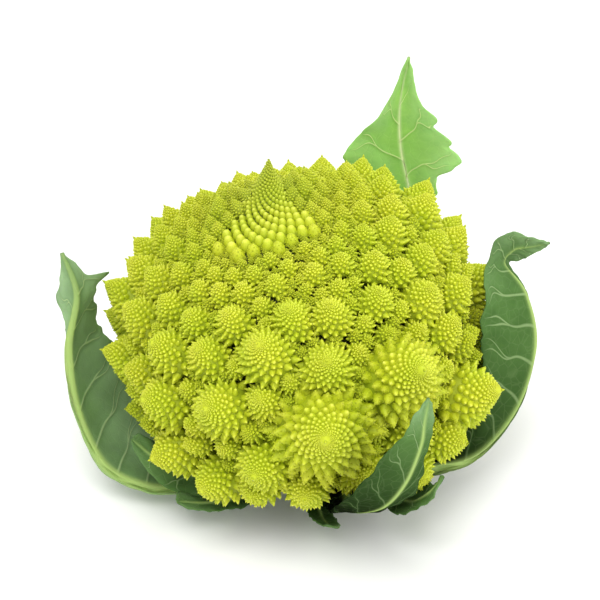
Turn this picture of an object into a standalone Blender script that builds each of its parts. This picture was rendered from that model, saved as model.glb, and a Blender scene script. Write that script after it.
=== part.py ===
"""Romanesco head with its leaves: a curd of spiral florets on a cut stalk, cupped by the leaves that grow below it.

Units are metres, +Z is up and -Y is the front. The origin is the middle of the stalk's cut face, on which the head
stands. The curd is a blunt cone that leans a little. Its florets lie on it in one golden-angle spiral, and grow from
the tip down. Each floret is a small cone of the same kind, and its buds lie on it in a golden-angle spiral too.
"""

import math

import bmesh
import bpy
import numpy as np
from mathutils import Matrix, Vector
from mathutils.geometry import delaunay_2d_cdt

MM = 0.001
GOLDEN_ANGLE = math.radians(137.50776)

# Curd, as the curve that is turned about the head's axis: how far below level it runs (degrees) at each distance from
# the tip (mm). It starts as a small spire, flares into the dome and turns under at the foot.
CURD_SLOPES = ((0, 72), (10, 64), (21, 38), (31, 16), (122, 90), (146, 101), (166, 112))
CURD_ARC = 166 * MM
WIDEST_HEIGHT = 62 * MM  # of the curd's widest level above the cut face
LEAN_ANGLE = 13  # degrees, of the head's axis from upright, towards -X
TIP_BEND = 6 * MM  # how far the spire's tip is bent back towards +X
TIP_BEND_ARC = 30 * MM

# Florets: the width (mm) at each distance from the tip (mm)
FLORET_WIDTHS = ((0, 0.8), (16, 1.9), (25, 3.2), (36, 4.8), (46, 6.6), (54, 10), (63, 13), (74, 17), (86, 20.5),
                 (104, 25), (122, 27), (146, 24), (166, 20))
FLORET_FLOOR = 38 * MM  # no floret stands lower than this above the cut face
FLORET_PACKING = 0.80  # area of one floret over its width squared
FLORET_HEIGHT = 0.64  # tip above the curve, over the width
FLORET_ROOT = 0.72  # root below the curve, over the width
FLORET_LEAN = 20  # degrees, from the curd's normal towards its tip
SPIRAL_START = 0.0  # degrees
SPIRAL_HAND = 1  # 1 turns anticlockwise seen from above
CROWDING = 0.76  # how near two florets may stand, over their mean width
EARLY_GROWTH = 0.22  # how much sooner florets grow large at the back and sides than at the front
EARLY_TURNS = (35, 85)  # degrees away from the front between which that sets in
FILLER_SHARES = (1, 0.74)  # of the local width, for the florets that fill the gaps, tried in this order
RELIEF_WIDTH = 11 * MM  # florets narrower than this are raised from the core's own surface
RELIEF_FINEST = 4.2 * MM  # the spire's own florets are finer than this, and are raised as this size
RELIEF_ARC = 9 * MM  # the spire is smooth above this
# The large florets that break the spiral: turn (degrees, -90 is the front), distance from the tip (mm), width (mm)
NAMED_FLORETS = (
    (277, 117, 45), (305, 109, 40), (329, 136, 33), (283, 94, 25), (264, 84, 27), (246, 104, 28), (223, 106, 27),
    (237, 139, 25), (224, 86, 24), (241, 84, 21), (251, 71, 18), (233, 72, 16.5), (276, 73, 20), (291, 76, 19),
    (310, 79, 17), (327, 90, 21), (190, 105, 23), (344, 100, 20), (341, 80, 18), (10, 97, 21), (256, 129, 27),
    (303, 135, 24), (286, 142, 24), (267, 143, 22), (318, 149, 22), (251, 141, 20),
)
# Where a leaf lies against the curd and no floret grows: from turn, to turn (degrees), below this distance (mm)
LEAF_BEDS = ((170, 218, 113), (324, 362, 108))
BUDS_PER_WIDTH = ((8, 4), (11, 5), (20, 7), (28, 10), (45, 22))  # buds on a floret of each width (mm)

# Core, under the florets
CORE_INSET = 0.30  # below the curve, over the local floret's width
CORE_SIDES = 36
CORE_FLOOR = 34 * MM  # of the core's rim above the cut face

# Stalk
STALK_RADIUS = 25 * MM
STALK_WAIST = 21 * MM
STALK_HEIGHT = 24 * MM
STALK_SIDES = 28
JOINT_GAP = 0.3 * MM  # between neighbouring pieces

# Leaves, as (rib, left edge, right edge, rib thickness at foot and tip, wave), with points in mm from foot to tip. Left
# is the left hand of someone who looks along the rib from the foot at the side that faces away from the head.
LEAVES = {
    "leaf_left": (
        ((-28, -9, 8), (-42, -21, 8), (-58, -29, 9), (-74, -31, 11), (-91, -27, 19), (-102, -19, 41), (-105, -10, 66),
         (-102, -3, 87), (-108, 0, 106)),
        ((-27, -4, 9), (-40, -8, 8), (-55, -6, 9), (-68, 2, 14), (-78, 10, 25), (-89, 15, 43), (-96, 16, 62),
         (-97, 10, 84), (-107, 1, 105.5)),
        ((-27, -13, 6), (-42, -24, 6), (-59, -33, 8), (-75, -34, 9), (-94, -29, 18), (-105, -19, 40), (-108, -8, 64),
         (-109, 1, 86), (-109, 1, 105.5)),
        (5.5, 1.2), 1.2),
    "leaf_right": (
        ((28, -9, 9), (37, -20, 14), (47, -28, 19), (63, -25, 25), (78, -13, 40), (85, 0, 61), (81, 8, 80),
         (72, 11, 95), (77, 10, 104), (85, 8, 106), (92, 5, 108)),
        ((28, -13, 8), (37, -24, 13), (47, -33, 18), (65, -28, 23), (82, -14, 39), (88, 2, 59), (84, 12, 79),
         (77, 15, 91), (82, 13, 95), (87, 9, 101), (93, 6, 107)),
        ((28, -5, 10), (37, -12, 15), (47, -16, 22), (60, -18, 38), (64, -18, 54), (65, -17, 69), (64, -12, 84),
         (66, 3, 97), (73, 5, 112), (84, 5, 111), (91.5, 4, 109)),
        (5.0, 1.2), 1.0),
    "leaf_front": (
        ((10, -26, 7), (9, -45, 13), (11, -64, 22), (22, -82, 38), (30, -93, 58), (35, -98, 79), (36, -99, 91),
         (37.5, -98, 101)),
        ((5, -27, 9), (0, -47, 14), (2, -69, 26), (8, -92, 50), (18, -101, 71), (27, -104, 86), (32, -102, 95),
         (37, -99, 100.5)),
        ((14, -24, 6), (17, -41, 11), (21, -59, 18), (31, -74, 35), (37, -86, 56), (39, -95, 79), (40, -97, 91),
         (39, -97, 100.5)),
        (4.5, 1.2), 0.8),
    "leaf_back": (
        ((11, 25, 7), (25, 52, 9), (38, 82, 30), (40, 90, 60), (39, 88, 86), (34, 86, 111), (33, 82, 135),
         (36, 78, 157)),
        ((15, 22, 8), (35, 47, 10), (51, 76, 30), (53, 85, 60), (49, 82, 85), (58, 79, 107), (42, 80, 134),
         (37, 78, 156.5)),
        ((7, 27, 8), (15, 55, 10), (25, 84, 31), (25, 90, 60), (14, 87, 86), (10, 84, 106), (26, 81, 131),
         (35, 78, 156.5)),
        (5.0, 1.2), 1.2),
    "leaf_inner": (
        ((-21, -18, 15), (-34, -28, 15), (-50, -36, 19), (-66, -38, 26), (-80, -36, 38)),
        ((-22, -14, 17), (-34, -21, 18), (-50, -28, 22), (-67, -31, 31), (-79, -34, 41)),
        ((-18, -20, 13), (-33, -33, 12), (-50, -43, 14), (-68, -44, 21), (-81, -37, 36)),
        (3.5, 1.0), 0.5),
    "leaf_low_left": (
        ((-16, -24, 5), (-29, -37, 5), (-44, -49, 8), (-58, -54, 14)),
        ((-18, -21, 6), (-32, -33, 5), (-47, -45, 8), (-60, -51, 17)),
        ((-12, -25, 5), (-25, -41, 5), (-40, -53, 8), (-56, -56, 12)),
        (3.0, 1.0), 0.4),
    "leaf_low_front": (
        ((-3, -27, 5), (-3, -42, 7), (0, -58, 11), (5, -69, 18)),
        ((-7, -26, 6), (-8, -41, 8), (-5, -57, 12), (4, -70, 18)),
        ((0, -27, 6), (2, -42, 7), (5, -58, 12), (6, -68, 17.5)),
        (3.0, 1.0), 0.4),
    "leaf_low_right": (
        ((20, -21, 6), (29, -39, 11), (36, -57, 21), (42, -66, 33), (47, -66, 41)),
        ((18, -23, 6), (24, -43, 10), (30, -62, 19), (41, -70, 31), (46, -68, 40)),
        ((23, -19, 6), (33, -36, 13), (41, -53, 30), (44, -62, 34), (47, -64, 41)),
        (3.0, 1.0), 0.4),
}
LEAF_THICKNESS = 1.5 * MM
LEAF_COLUMNS = (-1.0, -0.68, -0.36, -0.12, 0.0, 0.12, 0.36, 0.68, 1.0)  # across, 0 is the rib
LEAF_ROWS = 3  # between two points of the rib
LEAF_WAVES = 3.5  # along the edge

STEPS = 400  # samples along the curd's arc
CURD_TRIANGLES = 11400  # after the slivers that the union leaves are thinned out


def clear_scene():
    """Remove whatever the scene holds."""
    for obj in list(bpy.data.objects):
        bpy.data.objects.remove(obj, do_unlink=True)


def finish(name, colour, roughness):
    """A plain material of one colour."""
    material = bpy.data.materials.new(name)
    material.use_nodes = True
    shader = material.node_tree.nodes["Principled BSDF"]
    shader.inputs["Base Color"].default_value = (*colour, 1)
    shader.inputs["Roughness"].default_value = roughness
    shader.inputs["Metallic"].default_value = 0
    return material


def add_object(name, vertices, faces, material):
    """A mesh object from points and faces."""
    mesh = bpy.data.meshes.new(name)
    mesh.from_pydata([tuple(v) for v in vertices], [], faces)
    mesh.materials.append(material)
    obj = bpy.data.objects.new(name, mesh)
    bpy.context.scene.collection.objects.link(obj)
    return obj


def curd_curve():
    """Arc length, radius, height below the tip and slope (radians below level), from the tip to the foot."""
    arc = np.linspace(0, CURD_ARC, STEPS)
    knots = np.array(CURD_SLOPES, dtype=float)
    slope = np.radians(np.interp(arc, knots[:, 0] * MM, knots[:, 1]))
    middle = (slope[1:] + slope[:-1]) / 2
    step = arc[1] - arc[0]
    radius = np.concatenate([[0], np.cumsum(np.cos(middle) * step)])
    height = -np.concatenate([[0], np.cumsum(np.sin(middle) * step)])
    return arc, radius, height, slope


def floret_width(arc):
    """Width of a floret that stands at this distance from the tip."""
    knots = np.array(FLORET_WIDTHS) * MM
    return np.interp(arc, knots[:, 0], knots[:, 1])


def growth(turn):
    """How much sooner florets grow large at this turn than at the front."""
    away = abs((math.degrees(turn) + 90 + 180) % 360 - 180)
    share = min(1, max(0, (away - EARLY_TURNS[0]) / (EARLY_TURNS[1] - EARLY_TURNS[0])))
    return 1 + EARLY_GROWTH * share * share * (3 - 2 * share)


def in_leaf_bed(arc, turn):
    """Whether a leaf takes this floret's place."""
    return any(arc > limit * MM and (math.degrees(turn) - start) % 360 < end - start for start, end, limit in LEAF_BEDS)


def spiral(curve, finest, packing):
    """Places along the golden-angle spiral as (arc, turn, width), from the tip down, none finer than the given width."""
    arc, radius = curve[:2]
    width = np.maximum(floret_width(arc), finest)
    density = 2 * math.pi * radius / (packing * width**2)
    step = arc[1] - arc[0]
    count = np.concatenate([[0], np.cumsum((density[1:] + density[:-1]) / 2 * step)])
    places = []
    for number in range(1, int(count[-1]) + 1):
        at = np.interp(number, count, arc)
        turn = math.radians(SPIRAL_START) + SPIRAL_HAND * GOLDEN_ANGLE * number
        places.append((at, turn, np.interp(at, arc, width)))
    return places


def floret_sites(curve):
    """Each floret that stands alone as (arc, radius, height, slope, turn, width), the smallest first.

    The named ones are placed first. The golden-angle spiral, much finer than its florets, is then searched for places
    where another large one fits between them.
    """
    arc, radius, height, slope = curve
    frame = head_frame(curve)

    def site(at, turn, wide):
        return (at, np.interp(at, arc, radius), np.interp(at, arc, height), np.interp(at, arc, slope), turn, wide)

    def foot(s):
        return np.array([s[1] * math.cos(s[4]), s[1] * math.sin(s[4]), s[2]])

    large = [site(at * MM, math.radians(turn), wide * MM) for turn, at, wide in NAMED_FLORETS]
    feet = [foot(s) for s in large]
    for share in FILLER_SHARES:
        for at, turn, _ in spiral(curve, 0, FLORET_PACKING / 12):
            width = floret_width(at * growth(turn))
            s = site(at, turn, share * width)
            clear = all(np.linalg.norm(foot(s) - f) > CROWDING * (s[5] + n[5]) / 2 for f, n in zip(feet, large))
            if width > RELIEF_WIDTH and clear and not in_leaf_bed(at, turn) and (frame @ Vector(foot(s))).z > FLORET_FLOOR:
                large.append(s)
                feet.append(foot(s))
    return sorted(large, key=lambda s: s[5])


def head_frame(curve):
    """The matrix that stands the curd, modelled with its tip at the origin, on the stalk."""
    arc, _, height, slope = curve
    widest = np.interp(math.pi / 2, slope[arc > 0.2 * CURD_ARC], height[arc > 0.2 * CURD_ARC])
    lean = Matrix.Rotation(math.radians(-LEAN_ANGLE), 4, "Y")
    rise = Matrix.Translation((0, 0, WIDEST_HEIGHT - STALK_HEIGHT - widest))
    return Matrix.Translation((0, 0, STALK_HEIGHT)) @ lean @ rise


def relief_surface(bumps, rim, place, lift, depth):
    """A surface of raised cells, one round each bump, as (points, faces, rim indices).

    The bumps and the rim are points of the plane. Their Delaunay triangles' middles are the valleys, so each bump is
    a low pyramid on its own cell. place(plane points, lift) gives the points in space, and depth is the valleys' lift.
    """
    plane = [Vector(p) for p in np.vstack([bumps, rim])]
    triangles = delaunay_2d_cdt(plane, [], [], 0, 1e-9)[2]
    corners = np.array(plane)
    middles = np.array([corners[list(t)].mean(axis=0) for t in triangles])
    points = np.vstack([
        place(np.array(bumps), np.asarray(lift)),
        place(np.array(rim), np.zeros(len(rim))),
        place(middles, depth(middles)),
    ])
    first_middle = len(plane)
    owner = {}
    for index, triangle in enumerate(triangles):
        for a, b in zip(triangle, triangle[1:] + triangle[:1]):
            owner[a, b] = first_middle + index
    faces = []
    for (a, b), left in owner.items():
        right = owner.get((b, a))
        faces.append((a, b, left) if right is None else (a, right, left))
    return points, faces, [len(bumps) + i for i in range(len(rim))]


def close_below(points, faces, ring, lower_rings):
    """Carry a closed edge down through further rings of points and cap the last one."""
    sides = len(ring)
    points = list(points)
    for lower in lower_rings:
        first = len(points)
        points.extend(lower)
        for i in range(sides):
            j = (i + 1) % sides
            faces.append((ring[j], ring[i], first + i, first + j))
        ring = [first + i for i in range(sides)]
    faces.append(tuple(reversed(ring)))
    return points, faces


def circle(radius, height, sides, turn=0.0):
    """Points on a level circle about Z."""
    angle = turn + np.arange(sides) * 2 * math.pi / sides
    return np.stack([radius * np.cos(angle), radius * np.sin(angle), np.full(sides, height)], axis=1)


def polar(plane):
    """Distance from the middle and angle of points of the plane."""
    return np.hypot(plane[:, 0], plane[:, 1]), np.arctan2(plane[:, 1], plane[:, 0])


def foot_height(curve):
    """Height of the stalk's top in the frame that has the curd's tip at its origin."""
    return (head_frame(curve).inverted() @ Vector((0, 0, STALK_HEIGHT))).z


def core_mesh(curve):
    """The solid under the florets. The florets too small to stand alone are raised from its upper surface."""
    arc, radius, height, slope = curve
    inset = np.where(floret_width(arc) > RELIEF_WIDTH, CORE_INSET * floret_width(arc), 0)
    small = [s for s in spiral(curve, RELIEF_FINEST, FLORET_PACKING) if s[0] > RELIEF_ARC and s[2] <= RELIEF_WIDTH]
    edge_arc = small[-1][0] + 0.6 * RELIEF_WIDTH

    def place(plane, lift):
        at, turn = polar(plane)
        r = np.interp(at, arc, radius) + lift * np.sin(np.interp(at, arc, slope))
        z = np.interp(at, arc, height) + lift * np.cos(np.interp(at, arc, slope))
        bend = TIP_BEND * np.clip(1 - at / TIP_BEND_ARC, 0, 1) ** 1.5
        return np.stack([r * np.cos(turn) + bend, r * np.sin(turn), z], axis=1)

    def depth(plane):
        return -0.16 * floret_width(polar(plane)[0])

    bumps = [(0.0, 0.0)] + [(at * math.cos(turn), at * math.sin(turn)) for at, turn, _ in small]
    lift = [0.5 * MM] + [0.40 * width for _, _, width in small]
    rim = circle(edge_arc, 0, CORE_SIDES)[:, :2]
    points, faces, ring = relief_surface(bumps, rim, place, lift, depth)
    rings = []
    frame = head_frame(curve)
    for at in np.linspace(edge_arc, CURD_ARC, 8)[1:]:
        sunk = np.interp(at, arc, inset)
        r = np.interp(at, arc, radius) - sunk * math.sin(np.interp(at, arc, slope))
        z = np.interp(at, arc, height) - sunk * math.cos(np.interp(at, arc, slope))
        level = [frame @ Vector(p) for p in circle(r, z, CORE_SIDES)]
        rings.append([frame.inverted() @ Vector((p.x, p.y, max(p.z, CORE_FLOOR))) for p in level])
    foot = foot_height(curve) + JOINT_GAP
    rings.append(circle(STALK_WAIST + 4 * MM, foot + 5 * MM, CORE_SIDES))
    rings.append(circle(STALK_WAIST, foot, CORE_SIDES))
    return close_below(points, faces, ring, rings)


def floret_mesh(width):
    """One floret with its tip up, its buds raised from its flank, standing on a short stem."""
    knots = np.array(BUDS_PER_WIDTH)
    buds = round(np.interp(width / MM, knots[:, 0], knots[:, 1]))
    out = math.radians(35)  # the way that the buds point, above level

    def place(plane, lift):
        at, turn = polar(plane)
        r = 0.44 * width * np.clip(at, 0, 1) ** 1.15 - 0.12 * width * np.clip(at - 1, 0, 1)
        z = FLORET_HEIGHT * width * (1 - 0.80 * np.clip(at, 0, 1) - 0.20 * at**3)
        r, z = r + lift * math.cos(out), z + lift * math.sin(out)
        return np.stack([r * np.cos(turn), r * np.sin(turn), z], axis=1)

    def depth(plane):
        return -0.03 * width * polar(plane)[0]

    number = np.arange(1, buds + 1)
    at = ((number + 0.4) / (buds + 0.4)) ** 0.75 * 1.02
    turn = number * GOLDEN_ANGLE
    bumps = np.vstack([[(0.0, 0.0)], np.stack([at * np.cos(turn), at * np.sin(turn)], axis=1)])
    lift = np.concatenate([[0], 0.30 * width / math.sqrt(buds) * at])
    rim = circle(1.32, 0, max(6, buds // 3))[:, :2]
    points, faces, ring = relief_surface(bumps, rim, place, lift, depth)
    stem = circle(0.22 * width, -FLORET_ROOT * width, len(ring))
    return close_below(points, faces, ring, [stem])


def floret_frame(site):
    """The matrix that stands a floret on the curd's curve, leaning towards the curd's tip."""
    _, radius, height, slope, turn, _ = site
    up = math.pi / 2 - slope + math.radians(FLORET_LEAN)
    axis = Vector((math.cos(up) * math.cos(turn), math.cos(up) * math.sin(turn), math.sin(up)))
    side = Vector((-math.sin(turn), math.cos(turn), 0))
    inner = axis.cross(side)
    frame = Matrix((side, inner, axis)).transposed().to_4x4()
    frame.translation = (radius * math.cos(turn), radius * math.sin(turn), height)
    return frame @ Matrix.Rotation(5 * turn, 4, "Z")


def joined_by_union(base, others, name):
    """The base with the other objects joined to it by one Boolean, hollows filled and loose scraps dropped."""
    group = bpy.data.collections.new(name + "_pieces")
    for obj in others:
        bpy.context.scene.collection.objects.unlink(obj)
        group.objects.link(obj)
    bpy.context.scene.collection.children.link(group)
    union = base.modifiers.new("union", "BOOLEAN")
    union.operation = "UNION"
    union.operand_type = "COLLECTION"
    union.collection = group
    union.solver = "MANIFOLD"
    graph = bpy.context.evaluated_depsgraph_get()
    mesh = bpy.data.meshes.new_from_object(base.evaluated_get(graph))
    base.modifiers.remove(union)
    base.data = mesh
    for obj in others:
        bpy.data.objects.remove(obj, do_unlink=True)
    bpy.data.collections.remove(group)
    keep_largest_body(mesh)
    thin_out(base, CURD_TRIANGLES)


def keep_largest_body(mesh):
    """Delete every connected surface but the one that holds the most vertices."""
    work = bmesh.new()
    work.from_mesh(mesh)
    bmesh.ops.triangulate(work, faces=work.faces)
    left = set(work.verts)
    bodies = []
    while left:
        todo = [left.pop()]
        body = set(todo)
        while todo:
            for edge in todo.pop().link_edges:
                for vertex in edge.verts:
                    if vertex in left:
                        left.remove(vertex)
                        body.add(vertex)
                        todo.append(vertex)
        bodies.append(body)
    largest = max(bodies, key=len)
    bmesh.ops.delete(work, geom=[v for v in work.verts if v not in largest], context="VERTS")
    work.to_mesh(mesh)
    work.free()


def thin_out(obj, triangles):
    """Collapse the least telling edges until the object has this many triangles."""
    thin = obj.modifiers.new("thin", "DECIMATE")
    thin.ratio = min(1.0, triangles / len(obj.data.polygons))
    thin.use_collapse_triangulate = True
    graph = bpy.context.evaluated_depsgraph_get()
    mesh = bpy.data.meshes.new_from_object(obj.evaluated_get(graph))
    obj.modifiers.remove(thin)
    obj.data = mesh


def make_curd(curve, sites, frame, material):
    """The curd: the core with every floret grown into it."""
    points, faces = core_mesh(curve)
    core = add_object("curd", points, faces, material)
    florets = []
    for number, site in enumerate(sites):
        points, faces = floret_mesh(site[5])
        floret = add_object(f"floret_{number}", points, faces, material)
        floret.data.transform(floret_frame(site))
        florets.append(floret)
    joined_by_union(core, florets, "curd")
    core.data.transform(frame)
    return core


def make_stalk(curve, frame, material):
    """The stalk, from its level cut face to the curd's foot, which leans with the head."""
    cut = circle(STALK_RADIUS - 2 * MM, 0, STALK_SIDES)
    low = circle(STALK_RADIUS, 3 * MM, STALK_SIDES)
    waist = circle(STALK_WAIST, 0.6 * STALK_HEIGHT, STALK_SIDES)
    top = [frame @ Vector(p) for p in circle(STALK_WAIST, foot_height(curve), STALK_SIDES)]
    points = list(top)
    faces = [tuple(range(STALK_SIDES))]
    points, faces = close_below(points, faces, list(range(STALK_SIDES)), [waist, low, cut])
    return add_object("stalk", points, faces, material)


def smooth(points, parts):
    """A Catmull-Rom curve through the points, with this many parts between neighbours."""
    p = np.array(points, dtype=float) * MM
    p = np.vstack([2 * p[0] - p[1], p, 2 * p[-1] - p[-2]])
    t = (np.arange(parts) / parts)[:, None]
    runs = []
    for a, b, c, d in zip(p, p[1:], p[2:], p[3:]):
        runs.append(b + 0.5 * t * (c - a + t * (2 * a - 5 * b + 4 * c - d + t * (3 * (b - c) + d - a))))
    return np.vstack([*runs, p[-2][None]])


def leaf_mesh(rib, left, right, rib_thickness, wave):
    """A leaf as one thin solid: a blade of even thickness with waved edges and a thick rib on its outer side."""
    spine, edges = smooth(rib, LEAF_ROWS), {-1: smooth(left, LEAF_ROWS), 1: smooth(right, LEAF_ROWS)}
    along = np.linspace(0, 1, len(spine))
    columns = []
    for across in LEAF_COLUMNS:
        edge = edges[1 if across > 0 else -1]
        columns.append(spine + (edge - spine) * abs(across))
    middle = np.stack(columns, axis=1)

    def normals(surface):
        n = np.cross(np.gradient(surface, axis=0), np.gradient(surface, axis=1))
        return n / np.linalg.norm(n, axis=2, keepdims=True)

    ripple = wave * MM * np.sin(2 * math.pi * LEAF_WAVES * along)[:, None] * np.array(LEAF_COLUMNS) ** 2
    ripple = ripple * np.sin(math.pi * along)[:, None]
    middle = middle + normals(middle) * ripple[:, :, None]
    n = normals(middle)
    thickness = np.interp(along, (0, 1), rib_thickness)[:, None] * MM
    bulge = (thickness - LEAF_THICKNESS).clip(0) * np.interp(np.abs(LEAF_COLUMNS), (0, 0.12, 0.36), (1, 0.75, 0))
    outer = middle + n * (LEAF_THICKNESS / 2 + bulge)[:, :, None]
    inner = middle - n * LEAF_THICKNESS / 2
    rows, width = middle.shape[:2]
    count = rows * width
    faces = []
    for i in range(rows - 1):
        for j in range(width - 1):
            a, b = i * width + j, (i + 1) * width + j
            faces += [(a, b, b + 1), (a, b + 1, a + 1)]
            faces += [(count + a, count + b + 1, count + b), (count + a, count + a + 1, count + b + 1)]
    border = [j for j in range(width)] + [i * width + width - 1 for i in range(1, rows)]
    border += [(rows - 1) * width + j for j in range(width - 2, -1, -1)] + [i * width for i in range(rows - 2, 0, -1)]
    for a, b in zip(border, border[1:] + border[:1]):
        faces.append((a, b, count + b, count + a))
    return np.vstack([outer.reshape(-1, 3), inner.reshape(-1, 3)]), faces


def main():
    """Model every piece."""
    clear_scene()
    curve = curd_curve()
    sites = floret_sites(curve)
    frame = head_frame(curve)
    curd_green = finish("curd", (0.52, 0.62, 0.03), 0.55)
    stalk_green = finish("stalk", (0.52, 0.62, 0.28), 0.5)
    leaf_green = finish("leaf", (0.10, 0.22, 0.06), 0.5)
    make_curd(curve, sites, frame, curd_green)
    make_stalk(curve, frame, stalk_green)
    for name, shape in LEAVES.items():
        points, faces = leaf_mesh(*shape)
        add_object(name, points, faces, leaf_green)


main()
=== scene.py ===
"""A romanesco head with its leaves, on a pale floor under soft studio light.

The head is built the way that it grows. Florets lie on the curd in one golden-angle spiral, each floret is a cone whose
buds lie in a golden-angle spiral of their own, and the largest buds carry smaller ones again. The leaves are thin
blades with a thick rib, raised veins and ragged, waved edges. Units are metres, +Z is up, -Y is the front, and the
origin is the middle of the stalk's cut face.
"""

from __future__ import annotations

import logging
import math

from dataclasses import dataclass, field
from enum import Enum
from typing import Any, Callable

import bpy
import numpy as np
from mathutils import Matrix, Vector

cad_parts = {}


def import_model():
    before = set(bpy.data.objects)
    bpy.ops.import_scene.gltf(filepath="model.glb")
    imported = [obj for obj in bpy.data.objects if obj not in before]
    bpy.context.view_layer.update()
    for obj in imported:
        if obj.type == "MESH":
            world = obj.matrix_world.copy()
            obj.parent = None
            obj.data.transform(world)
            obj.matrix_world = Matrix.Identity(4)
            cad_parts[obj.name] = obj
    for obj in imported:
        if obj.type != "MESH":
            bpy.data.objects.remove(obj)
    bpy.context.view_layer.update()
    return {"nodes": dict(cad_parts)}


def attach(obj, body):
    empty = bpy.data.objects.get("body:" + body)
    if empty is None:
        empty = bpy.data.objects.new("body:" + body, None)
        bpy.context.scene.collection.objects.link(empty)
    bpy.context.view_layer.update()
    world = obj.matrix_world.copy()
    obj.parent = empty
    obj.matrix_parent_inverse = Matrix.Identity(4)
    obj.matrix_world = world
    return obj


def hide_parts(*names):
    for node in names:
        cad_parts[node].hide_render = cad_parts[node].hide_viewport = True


Array = np.ndarray
Socket = bpy.types.NodeSocket
LOG = logging.getLogger("romanesco")
MM = 0.001
GOLDEN_ANGLE = math.radians(137.50776)
HEAD_BODY = "root"


class Slot(Enum):
    """The record's material slots."""

    CURD = "curd"
    STALK = "stalk"
    LEAF = "leaf"
    YOUNG_LEAF = "leaf_young"


# ---- Layout of the head ----

# The solid model is laid out in the same way, without the crown's tall cones and the florets in crevices and beds.

# How far below level the curd's curve runs (degrees) at each distance from the tip (mm)
CURD_SLOPES = ((0, 72), (10, 64), (21, 38), (31, 16), (122, 90), (146, 101), (166, 112))
CURD_ARC = 166 * MM
CURVE_STEPS = 400
WIDEST_HEIGHT = 62 * MM  # of the curd's widest level above the cut face
LEAN_ANGLE = 13  # degrees, towards -X
TIP_BEND = 6 * MM  # how far the spire's tip is bent back towards +X
TIP_BEND_ARC = 30 * MM

# The width of a floret (mm) at each distance from the tip (mm)
FLORET_WIDTHS = ((0, 0.8), (16, 1.9), (25, 3.2), (36, 4.8), (46, 6.6), (54, 10), (63, 13), (74, 17), (86, 20.5),
                 (104, 25), (122, 27), (146, 24), (166, 20))
FLORET_FLOOR = 38 * MM  # no floret stands lower than this above the cut face
CORE_FLOOR = 34 * MM  # of the rim of the core under the florets
FLORET_PACKING = 0.80  # area of one floret over its width squared
FLORET_LEAN = 20  # degrees, from the curd's normal towards its tip
FILLERS = ((1, 0.76), (0.74, 0.76), (0.5, 0.68))  # share of the local width, and crowding, for those that fill gaps
SMALL_FLORET = 9 * MM  # florets narrower than this stand in the plain spiral
SPIRAL_TRIALS = 12  # places tried for each floret of the plain spiral, where gaps are filled
# Small florets in the crevices, and in the leaves' beds wherever they clear the blades
CREVICE_FILLERS = ((0.48, 0.66), (0.34, 0.62))
BED_FILLERS = ((0.62, 0.72), (0.46, 0.70), (0.34, 0.66))
CREVICE_FLORET = 5 * MM  # none where the local width is less than this
CREVICE_SHADING = 0.72  # painted shade: how pale the florets in crevices and beds are, over the rest
BLADE_GAP = 1.5 * MM
FLORET_MIDDLE, FLORET_HALF = 0.4, 0.55  # a floret as a ball: its middle's height and its radius, over its width
SWALLOWED = 0.30  # a small floret goes where it is nearer to a large one than this share of both widths
SECTOR_START = -105  # degrees, where the first sector of florets begins
BLADE_PARTS, BLADE_SHARES = 6, 9  # points along a leaf between two of its knots, and from its rib to an edge
# The cones beside and behind the spire, which are much further grown than the buds at the same distance in front
CROWN_FILLERS = ((1, 0.74), (0.66, 0.70))
CROWN_FLORET = 7 * MM  # the narrowest of them
CROWN_GROWTH = 26 * MM  # how far down the front a floret of their size stands, further than they do
CROWN_TURNS = (40, 76)  # degrees away from the front between which they set in
BEHIND_SPIRE = (115, 150)  # degrees away from the front between which they are lower, and leave the spire standing
BEHIND_REACH = (55 * MM, 85 * MM)  # distances from the tip between which that ends
CROWN_START = (11 * MM, 18 * MM)  # distances from the tip between which the cones set in
CROWN_END = (24 * MM, 56 * MM)  # and between which they end
CROWN_REACH = 54 * MM  # how far from the tip they stand
CONE_RANGE = (70 * MM, 40 * MM)  # distances from the tip between which florets grow into tall cones
CONE_RISE, CONE_FINENESS = 0.22, 0.35  # how much taller those are, over their width, and how much finer their buds
BEHIND_DROP = 0.14  # how much lower those behind the spire are, and how far they are sunk, over their width
# In front the step from the spire's plain balls to florets is a quick one
FRONT_GROWTH = 11 * MM  # how much further down a floret of their size stands elsewhere
FRONT_START = (45 * MM, 50 * MM)
FRONT_END = (50 * MM, 66 * MM)
# The widest of the spire's plain buds, of its plain balls, and of its balls with knobs. Wider ones are florets.
SPIRE_WIDTHS = (2.4 * MM, 5.4 * MM, 6.8 * MM)
BALL_KNOBS = 30
EARLY_GROWTH = 0.22  # how much sooner florets grow large at the back and sides than at the front
EARLY_TURNS = (35, 85)  # degrees away from the front between which that sets in
# The large florets that break the spiral: turn (degrees, -90 is the front), distance from the tip (mm), width (mm)
NAMED_FLORETS = (
    (277, 117, 45), (305, 109, 40), (329, 136, 33), (283, 94, 25), (264, 84, 27), (246, 104, 28), (223, 106, 27),
    (237, 139, 25), (224, 86, 24), (241, 84, 21), (251, 71, 18), (233, 72, 16.5), (276, 73, 20), (291, 76, 19),
    (310, 79, 17), (327, 90, 21), (190, 105, 23), (344, 100, 20), (341, 80, 18), (10, 97, 21), (256, 129, 27),
    (303, 135, 24), (286, 142, 24), (267, 143, 22), (318, 149, 22), (251, 141, 20),
)
# Where a leaf lies against the curd and no large floret grows: from turn, to turn (degrees), below this distance (mm)
LEAF_BEDS = ((170, 218, 113), (324, 362, 108))

CORE_ROWS, CORE_SIDES = 90, 72
CORE_DEPTHS = (0.26, 0.20)  # how far the core is sunk, over the width of a floret and of a small one

STALK_RADIUS = 25 * MM
STALK_HEIGHT = 24 * MM
# Its radius over the widest one, from the cut face up
STALK_PROFILE = ((0, 0.93), (0.1, 0.99), (0.25, 1.0), (0.6, 0.86), (1, 0.84))
STALK_LEVELS = 14
CUT_RINGS = (0.35, 0.6, 0.78, 0.9)  # rings of points on the cut face, over its radius


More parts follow.
